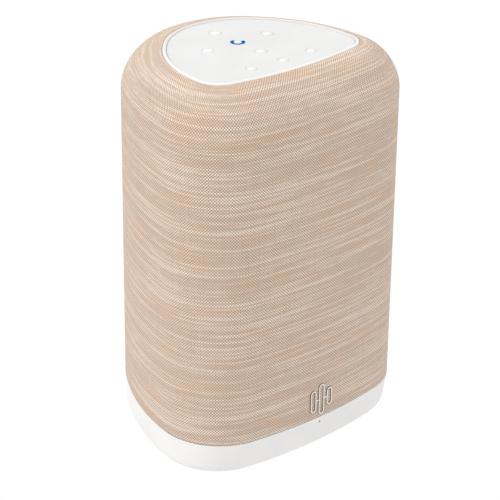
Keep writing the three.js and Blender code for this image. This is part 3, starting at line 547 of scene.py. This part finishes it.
def bezel():
    """The rim: a round outside painted brighter as a highlight, and an inner slope in the plate's plastic.
    """
    quarter = even_angles(math.pi / 2, RIM_STEPS)
    slope_width = RIM_WIDTH - RIM_ROUND
    section = [(0, RIM_BOTTOM)]
    section += [(RIM_ROUND * (1 - math.cos(a)), RIM_TOP - RIM_ROUND * (1 - math.sin(a))) for a in quarter]
    slope_start = len(section) - 1
    section += [(RIM_ROUND + slope_width * math.sin(a), RIM_TOP - RIM_DROP * (1 - math.cos(a)))
                for a in quarter[1:]]
    section += [(RIM_WIDTH, RIM_BOTTOM)]
    rings = [level(outline(PANEL, inset), z) for inset, z in section]
    rim = new_object("panel_rim", skinned("panel_rim", rings, True, 50), "top_bezel", "white_plastic")
    # The round outside takes a brighter copy of the white plastic: a painted highlight along the rim's top.
    rim.data.materials.append(looks["painted_rim_highlight"])
    rim.data.materials.append(looks["panel_plastic"])
    for polygon in rim.data.polygons:
        on_slope = polygon.index // len(rings[0]) >= slope_start
        polygon.material_index = 1 if on_slope else 0


def arc_outline(grow):
    """The power light in plan: a ring sector with its gap, grown by grow all round."""
    x, y = middle("power_button")
    inner = LIGHT_INNER - grow
    outer = LIGHT_OUTER + grow
    start = math.radians(LIGHT_GAP_CENTRE + LIGHT_HALF_GAP) - grow / LIGHT_INNER
    end = math.radians(LIGHT_GAP_CENTRE - LIGHT_HALF_GAP + 360) + grow / LIGHT_INNER
    angles = [start + a for a in even_angles(end - start, LIGHT_STEPS)]
    points = [Vector((x + outer * math.cos(a), y + outer * math.sin(a))) for a in angles]
    return points + [Vector((x + inner * math.cos(a), y + inner * math.sin(a))) for a in reversed(angles)]


def cap_radius(name):
    """The cap's radius above the flange that holds it under the plate."""
    if name == "power_button":
        return BUTTON_R
    return PRESET_R if name.startswith("preset") else KEY_R


def key_hole(name):
    """A cutter for a key's hole, wider at the lip."""
    gap = BUTTON_GAP if name == "power_button" else KEY_GAP
    radius = cap_radius(name) + gap
    profile = [(radius, -HOLE_DEPTH), (radius, -HOLE_LIP), (radius + HOLE_LIP, 0), (radius + HOLE_LIP, MM)]
    hole = turned("hole", profile, 64)
    hole.transform(Matrix.Translation((*middle(name), PLATE_TOP)))
    return cutter(hole)


def panel():
    inset = RIM_WIDTH + KEY_GAP
    section = [(inset + PLATE_EDGE, PLATE_BOTTOM), (inset, PLATE_BOTTOM + PLATE_EDGE),
               (inset, PLATE_TOP - PLATE_EDGE), (inset + PLATE_EDGE, PLATE_TOP)]
    mesh = skinned("panel_plate", [level(outline(PANEL, i), z) for i, z in section])
    plate = new_object("panel_plate", mesh, "control_plate", "panel_plastic")
    slot = skinned("slot", [level(arc_outline(KEY_GAP), z) for z in (PLATE_BOTTOM - MM, PLATE_TOP + MM)])
    cut_away(plate, [key_hole(name) for name in KEY_NAMES] + [cutter(slot)])
    smooth(plate.data)


def cap_profile(name):
    """(radius, height) points of a cap in mm: stem, flange, soft outer edge and raised centre."""
    side = cap_radius(name) / MM
    flange = side + FLANGE_REACH
    flange_top = BUTTON_FLANGE_TOP if name == "power_button" else FLANGE_TOP
    flange_bottom = flange_top - FLANGE_THICKNESS
    boss = side * CENTRE_SHARE
    profile = [(STEM_R, STEM_BOTTOM), (STEM_R, flange_bottom)]
    profile += [(flange, flange_bottom), (flange, flange_top), (side, flange_top)]
    profile += [(side, -0.2), (side - 0.08, -0.05), (side - 0.2, 0)]
    profile += [(boss + 0.25, 0), (boss + 0.1, 0.05), (boss, 0.2), (boss - 0.15, 0.36)]
    return profile + [(boss - 0.4, CENTRE_PROUD)]


def caps():
    """The keys and the power button: plate plastic, with a brighter raised centre."""
    for name in KEY_NAMES:
        mesh = turned(name + "_cap", [(r * MM, z * MM) for r, z in cap_profile(name)], 64)
        mesh.transform(Matrix.Translation((*middle(name), PLATE_TOP)))
        new_object(name + "_cap", mesh, name, "key_plastic", body=name)
        mesh.materials.append(looks["panel_plastic"])
        mesh.materials.append(looks["key_plastic"])
        for polygon in mesh.polygons:
            raised = polygon.center.z > PLATE_TOP + 0.02 * MM
            polygon.material_index = 1 if raised else 0


def light_guide():
    low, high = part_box("power_light_arc")
    rings = [level(arc_outline(0.0), low.z), level(arc_outline(0.0), high.z - LIGHT_EDGE),
             level(arc_outline(-LIGHT_EDGE), high.z)]
    new_object("light_guide", skinned("light_guide", rings), "power_light_arc", "blue_light")


# ---------------------------------------------------------------- finishes


class Look:
    """A small builder for one material's nodes."""

    def __init__(self, name):
        self.material = bpy.data.materials.new(name)
        self.material.use_nodes = True
        self.tree = self.material.node_tree
        self.shader = self.tree.nodes["Principled BSDF"]

    def node(self, kind, inputs=None, **settings):
        made = self.tree.nodes.new(kind)
        for key, value in settings.items():
            setattr(made, key, value)
        for key, value in (inputs or {}).items():
            self.put(made.inputs[key], value)
        return made

    def put(self, socket, value):
        """Sets a socket, or links it when the value is another node's output."""
        if isinstance(value, bpy.types.NodeSocket):
            self.tree.links.new(value, socket)
        else:
            socket.default_value = value

    def set(self, name, value):
        """Sets or links one of the shader's own inputs."""
        self.put(self.shader.inputs[name], value)

    def math(self, operation, a, b=0.0):
        return self.node("ShaderNodeMath", {0: a, 1: b}, operation=operation).outputs[0]

    def plus(self, a, b):
        return self.math("ADD", a, b)

    def minus(self, a, b):
        return self.math("SUBTRACT", a, b)

    def times(self, a, b):
        return self.math("MULTIPLY", a, b)

    def mix(self, share, a, b, blend="MIX"):
        made = self.node("ShaderNodeMix", data_type="RGBA", blend_type=blend)
        for index, value in ((0, share), (6, a), (7, b)):
            self.put(made.inputs[index], value)
        return made.outputs[2]

    def vector(self, x, y, z=0.0):
        return self.node("ShaderNodeCombineXYZ", {0: x, 1: y, 2: z}).outputs[0]

    def noise(self, vector, scale=1.0, detail=2.0, roughness=0.5):
        settings = {"Vector": vector, "Scale": scale, "Detail": detail, "Roughness": roughness}
        return self.node("ShaderNodeTexNoise", settings).outputs["Fac"]

    def ramp(self, value, low, high, eased=False):
        """The value stretched so that low becomes 0 and high becomes 1."""
        kind = "SMOOTHSTEP" if eased else "LINEAR"
        inputs = {"Value": value, "From Min": low, "From Max": high}
        return self.node("ShaderNodeMapRange", inputs, interpolation_type=kind).outputs[0]

    def bump(self, height, strength, distance=0.1 * MM):
        made = self.node("ShaderNodeBump", {"Height": height, "Strength": strength, "Distance": distance})
        self.set("Normal", made.outputs[0])

    def stretched(self, vector, scales):
        return self.node("ShaderNodeVectorMath", {0: vector, 1: scales}, operation="MULTIPLY").outputs[0]

    def millimetres(self):
        """Position in the piece's own frame, in millimetres."""
        spot = self.node("ShaderNodeTexCoord").outputs["Object"]
        return self.stretched(spot, (1 / MM,) * 3)


def rgb(*levels):
    """A display colour of 0 to 255 as a linear RGBA colour."""
    linear = [c / 255 / 12.92 if c <= 10 else ((c / 255 + 0.055) / 1.055) ** 2.4 for c in levels]
    return (*linear, 1.0)


def shade(colour, factor, lift=0.0):
    """A linear colour made brighter or darker."""
    return tuple(min(1.0, c * factor + lift) for c in colour[:3]) + (1.0,)


def moulded(name, colour, roughness, bump=0.06):
    """Moulded plastic: a fine grain in the gloss and surface, and slight shade changes."""
    look = Look(name)
    spot = look.millimetres()
    fine = look.noise(spot, 2.0, 3)
    broad = look.ramp(look.noise(spot, 0.03), 0.3, 0.75)
    look.set("Base Color", look.mix(broad, colour, shade(colour, 0.94)))
    look.set("Roughness", look.plus(roughness - 0.05, look.times(fine, 0.1)))
    look.bump(fine, bump)
    return look.material


def metal(name, colour, roughness, brushed=0.0):
    """Bare metal with fine scratches, drawn out along one direction when it is brushed."""
    look = Look(name)
    drawn_out = look.stretched(look.millimetres(), (1.0, 1.0, 1.0 - 0.95 * brushed))
    scratch = look.noise(drawn_out, 3.0, 4)
    look.set("Base Color", colour)
    look.set("Metallic", 1.0)
    look.set("Roughness", look.plus(roughness - 0.06, look.times(scratch, 0.12)))
    look.bump(scratch, 0.05)
    return look.material


def rubbery(name, colour, roughness=0.75):
    """Rubber or silicone: a matt grain, with paler patches."""
    look = Look(name)
    spot = look.millimetres()
    grain = look.noise(spot, 2.2, 3)
    patches = look.ramp(look.noise(spot, 0.12), 0.35, 0.7)
    look.set("Base Color", look.mix(patches, colour, shade(colour, 1.35, 0.004)))
    look.set("Roughness", look.plus(roughness - 0.05, look.times(grain, 0.15)))
    look.bump(grain, 0.2)
    return look.material


def circuit(name):
    """Solder mask over copper tracks, with pale pads."""
    look = Look(name)
    spot = look.millimetres()
    cells = look.node("ShaderNodeTexVoronoi", {"Vector": spot, "Scale": 0.35}, distance="MANHATTAN")
    tracks = look.ramp(look.math("PINGPONG", cells.outputs["Distance"], 0.22), 0.06, 0.1)
    pads = look.ramp(look.noise(spot, 0.9, 0), 0.68, 0.7)
    board = look.mix(tracks, rgb(24, 84, 58), rgb(34, 106, 70))
    look.set("Base Color", look.mix(pads, board, rgb(188, 184, 170)))
    look.set("Roughness", 0.42)
    look.bump(tracks, 0.15)
    return look.material


def pulp(name, colour):
    """Pressed fibre or coated cloth of a driver."""
    look = Look(name)
    fibres = look.noise(look.millimetres(), 1.6, 5, 0.7)
    look.set("Base Color", look.mix(look.ramp(fibres, 0.4, 0.75), colour, shade(colour, 1.6, 0.01)))
    look.set("Roughness", 0.85)
    look.bump(fibres, 0.3, 0.2 * MM)
    return look.material


def flat_cable(name):
    """Amber film with copper lines that run along the cable."""
    look = Look(name)
    spot = look.node("ShaderNodeSeparateXYZ", {0: look.millimetres()})
    across = look.plus(look.times(spot.outputs[0], 0.77), look.times(spot.outputs[1], -0.64))
    lines = look.ramp(look.math("PINGPONG", across, 0.5), 0.2, 0.25)
    look.set("Base Color", look.mix(lines, rgb(176, 118, 52), rgb(206, 150, 84)))
    look.set("Roughness", 0.35)
    look.bump(lines, 0.2)
    return look.material


def glowing(name, colour, strength):
    """A light guide lit from behind, a little uneven, that reflects almost nothing."""
    look = Look(name)
    speckle = look.ramp(look.noise(look.millimetres(), 2.0), 0.3, 0.7)
    lit = look.mix(speckle, shade(colour, 0.7), colour)
    look.set("Base Color", look.mix(0.85, lit, BLACK))
    look.set("Emission Color", lit)
    look.set("Emission Strength", strength)
    look.set("Specular IOR Level", 0.0)
    look.set("Roughness", 0.4)
    return look.material


class Weave(Look):
    """Plain-woven acoustic cloth: cream slubbed weft rows over a tan and peach warp.

    The "weave" UV map counts threads: whole numbers of U are warp threads, whole numbers of V weft rows.
    """

    def __init__(self, name):
        super().__init__(name)
        uv = self.node("ShaderNodeUVMap", uv_map="weave").outputs[0]
        thread = self.node("ShaderNodeSeparateXYZ", {0: uv})
        self.u = thread.outputs[0]
        self.v = thread.outputs[1]
        wobble = self.minus(self.cloth_noise(self.times(self.u, 0.11), self.v), 0.5)
        self.v_wavy = self.plus(self.v, self.times(wobble, 0.15))
        self.column = self.math("FLOOR", self.u)
        self.row = self.math("FLOOR", self.v_wavy)
        self.row_key = self.times(self.row, 7.31)

    def cloth_noise(self, along, up, seed=0.0, detail=1):
        """Noise with its own scale along the rows and up them."""
        return self.noise(self.vector(along, up, seed), 1.0, detail)

    def thread_top(self, counter, along, index):
        """Height of a thread: round across, and weaving over and under along its length."""
        across = self.minus(self.times(self.math("FRACT", counter), 2.0), 1.0)
        fall = self.times(self.math("POWER", self.math("ABSOLUTE", across), 2.0), 0.92)
        roundness = self.math("SQRT", self.minus(1.0, fall))
        phase = self.times(self.plus(self.minus(along, 0.5), index), math.pi)
        return self.plus(roundness, self.times(self.math("COSINE", phase), 0.55))

    def slubs(self):
        """Long places where a weft row is thicker and paler, different in each row."""
        long_noise = self.cloth_noise(self.times(self.u, 0.011), self.row_key)
        short_noise = self.cloth_noise(self.times(self.u, 0.075), self.plus(self.row_key, 41.7), detail=2)
        thickness = self.plus(self.times(long_noise, 0.75), self.times(short_noise, 0.25))
        return self.ramp(thickness, 0.44, 0.64, eased=True)

    def warp_colour(self, warmth):
        """Tan, with its own shade in each column, and peach where the cloth is warm."""
        shades = self.cloth_noise(self.times(self.column, 5.17), self.times(self.v, 0.02), 9.0)
        tan = self.mix(self.ramp(shades, 0.3, 0.7), rgb(152, 123, 102), rgb(171, 143, 121))
        return self.mix(warmth, tan, rgb(171, 132, 102))

    def weft_colour(self, warmth, slub):
        """Cream, with shades along each row, warmer in patches and palest on a slub."""
        shades = self.cloth_noise(self.times(self.u, 0.012), self.plus(self.row_key, 17.3))
        cream = self.mix(self.ramp(shades, 0.35, 0.65), rgb(208, 191, 175), rgb(215, 200, 185))
        cream = self.mix(warmth, cream, rgb(215, 192, 169))
        return self.mix(slub, cream, rgb(231, 219, 206))


def woven(name):
    weave = Weave(name)
    slub = weave.slubs()
    weft_top = weave.plus(weave.thread_top(weave.v_wavy, weave.u, weave.row), weave.times(slub, 0.26))
    warp_top = weave.thread_top(weave.u, weave.plus(weave.v_wavy, 1.0), weave.column)
    height = weave.math("MAXIMUM", weft_top, warp_top)
    patches = weave.cloth_noise(weave.times(weave.u, 0.03), weave.times(weave.v, 0.11), 5.0, 3)
    warmth = weave.ramp(patches, 0.42, 0.72)
    weft_shows = weave.ramp(weave.minus(weft_top, warp_top), -0.46, -0.2)
    cloth = weave.mix(weft_shows, weave.warp_colour(warmth), weave.weft_colour(warmth, slub))
    # Painted shade: the cloth is darkened where the threads lie low, in the gaps between them.
    painted_gap_shade = weave.mix(1.0, cloth, rgb(202, 186, 175), "MULTIPLY")
    cloth = weave.mix(weave.ramp(height, 0.5, 1.25), painted_gap_shade, cloth)
    fibre = weave.cloth_noise(weave.times(weave.u, 3.0), weave.times(weave.v, 3.0), detail=3)
    fluff = weave.times(weave.ramp(fibre, 0.3, 0.8), 0.25)
    weave.set("Base Color", weave.mix(fluff, cloth, rgb(226, 210, 192)))
    weave.set("Roughness", 0.92)
    weave.set("Sheen Weight", 0.12)
    weave.set("Sheen Roughness", 0.5)
    weave.set("Specular IOR Level", 0.2)
    weave.bump(height, 0.42, 0.4 * MM)
    return weave.material


# The CAD nodes that stay as they are, by the slot of their finish
CARRIED_OVER = {
    "dark_plastic": ["connector_plate", "mains_inlet", "line_in_jack", "inner_cabinet", "cabinet_lid",
                     "woofer_basket", "left_tweeter", "right_tweeter", "left_radiator_frame",
                     "right_radiator_frame"],
    "grey_plastic": ["bottom_cover", "chassis_plate", "grille_cage", "control_tray"],
    "steel": ["network_socket", "woofer_screw_1", "woofer_screw_2", "woofer_screw_3", "woofer_screw_4"],
    "dark_lens": ["status_lens"],
    "circuit_board": ["main_board", "power_board", "amplifier_board", "control_board", "wifi_antenna"],
    "aluminium": ["heat_sink", "left_radiator_plate", "right_radiator_plate"],
    "ferrite": ["woofer_magnet"],
    "rubber": ["woofer_surround", "left_radiator_surround", "right_radiator_surround"],
    "paper_cone": ["woofer_cone"],
    "silk": ["left_tweeter_dome", "right_tweeter_dome"],
    "silicone": ["silicone_keypad"],
    "copper_film": ["control_ribbon"],
}


def dress():
    """Gives each piece and each CAD node that still shows the finish of its slot."""
    slots = {name: slot for slot, names in CARRIED_OVER.items() for name in names}
    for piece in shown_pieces():
        if piece.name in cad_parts:
            piece.data.materials.clear()
            piece.data.materials.append(looks[slots[piece.name]])
        elif not piece.data.materials:
            piece.data.materials.append(looks[piece["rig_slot"]])


# ---------------------------------------------------------------- stage, light and camera


def backdrop():
    """A wide floor that glows an even white, like a light table, and is clear from below."""
    size = FLOOR_HALF_SIZE
    corners = [(-size, -size, 0), (size, -size, 0), (size, size, 0), (-size, size, 0)]
    mesh = bpy.data.meshes.new("floor")
    mesh.from_pydata(corners, [], [(0, 1, 2, 3)])
    floor = bpy.data.objects.new("floor", mesh)
    bpy.context.scene.collection.objects.link(floor)
    look = Look("floor")
    look.set("Base Color", BLACK)
    look.set("Specular IOR Level", 0.0)
    look.set("Emission Color", WHITE)
    look.set("Emission Strength", FLOOR_GLOW)
    underside = look.node("ShaderNodeNewGeometry").outputs["Backfacing"]
    clear = look.node("ShaderNodeBsdfTransparent").outputs[0]
    blend = look.node("ShaderNodeMixShader", {0: underside, 1: look.shader.outputs[0], 2: clear})
    look.put(look.tree.nodes["Material Output"].inputs["Surface"], blend.outputs[0])
    mesh.materials.append(look.material)


def surroundings():
    """A white tent, darker towards the horizon, and as bright as the floor below it."""
    world = bpy.data.worlds.new("studio")
    world.use_nodes = True
    nodes = world.node_tree.nodes
    link = world.node_tree.links.new
    direction = nodes.new("ShaderNodeSeparateXYZ")
    link(nodes.new("ShaderNodeTexCoord").outputs["Generated"], direction.inputs[0])
    tent = nodes.new("ShaderNodeMapRange")
    tent.inputs["From Max"].default_value = TENT_FULL_RISE
    tent.inputs["To Min"].default_value = TENT_HORIZON
    tent.inputs["To Max"].default_value = TENT_TOP
    link(direction.outputs[2], tent.inputs["Value"])
    below = nodes.new("ShaderNodeMath")
    below.operation = "LESS_THAN"
    below.inputs[1].default_value = 0.0
    link(direction.outputs[2], below.inputs[0])
    strength = nodes.new("ShaderNodeMix")
    strength.inputs[3].default_value = FLOOR_GLOW
    link(below.outputs[0], strength.inputs[0])
    link(tent.outputs[0], strength.inputs[2])
    link(strength.outputs[0], nodes["Background"].inputs["Strength"])
    nodes["Background"].inputs["Color"].default_value = WHITE
    bpy.context.scene.world = world


def key_light():
    light = bpy.data.lights.new("key", "SUN")
    light.energy = KEY_STRENGTH
    light.angle = math.radians(KEY_SPREAD)
    light.color = KEY_COLOUR
    lamp = bpy.data.objects.new("key", light)
    bpy.context.scene.collection.objects.link(lamp)
    lamp.rotation_euler = Vector(KEY_FROM).to_track_quat("Z", "Y").to_euler()


def camera():
    azimuth = math.radians(CAMERA_AZIMUTH)
    elevation = math.radians(CAMERA_ELEVATION)
    roll = math.radians(CAMERA_ROLL)
    back = Vector((math.sin(azimuth) * math.cos(elevation), -math.cos(azimuth) * math.cos(elevation),
                   math.sin(elevation)))
    right = Vector((0, 0, 1)).cross(back).normalized()
    up = back.cross(right)
    target = Vector(CAMERA_TARGET) - right * CAMERA_LEFTWARD
    rolled_right = right * math.cos(roll) + up * math.sin(roll)
    rolled_up = up * math.cos(roll) - right * math.sin(roll)
    data = bpy.data.cameras.new("camera")
    data.lens = CAMERA_LENS
    data.sensor_width = 36
    data.clip_start = 0.05
    data.clip_end = 50
    eye = bpy.data.objects.new("camera", data)
    bpy.context.scene.collection.objects.link(eye)
    turn = Matrix((rolled_right, rolled_up, back)).transposed().to_4x4()
    eye.matrix_world = Matrix.Translation(target + back * CAMERA_DISTANCE) @ turn
    bpy.context.scene.camera = eye


# ---------------------------------------------------------------- making it all

looks = {
    "white_plastic": moulded("white_plastic", (0.784, 0.777, 0.765, 1), 0.42),
    "panel_plastic": moulded("panel_plastic", (0.65, 0.652, 0.648, 1), 0.38),
    # A brighter copy of the white plastic for the rim's round outside: a painted highlight.
    "painted_rim_highlight": moulded("painted_rim_highlight", (0.80, 0.785, 0.765, 1), 0.3),
    "key_plastic": moulded("key_plastic", (0.75, 0.75, 0.745, 1), 0.3),
    "blue_light": glowing("blue_light", rgb(2, 108, 176), 1.0),
    "fabric": woven("fabric"),
    "dark_plastic": moulded("dark_plastic", rgb(38, 40, 43), 0.5, bump=0.15),
    "grey_plastic": moulded("grey_plastic", rgb(109, 112, 117), 0.55, bump=0.15),
    "rubber": rubbery("rubber", rgb(43, 43, 45)),
    "silicone": rubbery("silicone", rgb(185, 188, 192), 0.6),
    "steel": metal("steel", rgb(184, 186, 189), 0.32),
    "polished_metal": metal("polished_metal", rgb(225, 221, 216), 0.16),
    # A darker copy of the badge's metal for its sides: painted shade.
    "painted_shade_metal": metal("painted_shade_metal", rgb(128, 120, 112), 0.3),
    "aluminium": metal("aluminium", rgb(190, 193, 198), 0.4, brushed=1.0),
    "ferrite": moulded("ferrite", rgb(58, 59, 61), 0.6, bump=0.3),
    "circuit_board": circuit("circuit_board"),
    "paper_cone": pulp("paper_cone", rgb(52, 54, 58)),
    "silk": pulp("silk", rgb(74, 76, 80)),
    "copper_film": flat_cable("copper_film"),
    "dark_lens": moulded("dark_lens", rgb(20, 21, 24), 0.12, bump=0.02),
}

rings = sleeve_rings()
sleeve_mesh = skinned("woven_sleeve", rings, close=True, angle=60)
cloth_width = lay_weave(sleeve_mesh, rings)
sleeve = new_object("woven_sleeve", sleeve_mesh, "fabric_sleeve", "fabric")
foot_skirt()
foot_pads()
cover_screws()
badge()
bezel()
panel()
caps()
light_guide()
dress()

backdrop()
surroundings()
key_light()
camera()
view = bpy.context.scene.view_settings
view.view_transform = "Standard"
view.look = "None"
view.exposure = 0.0
view.gamma = 1.0
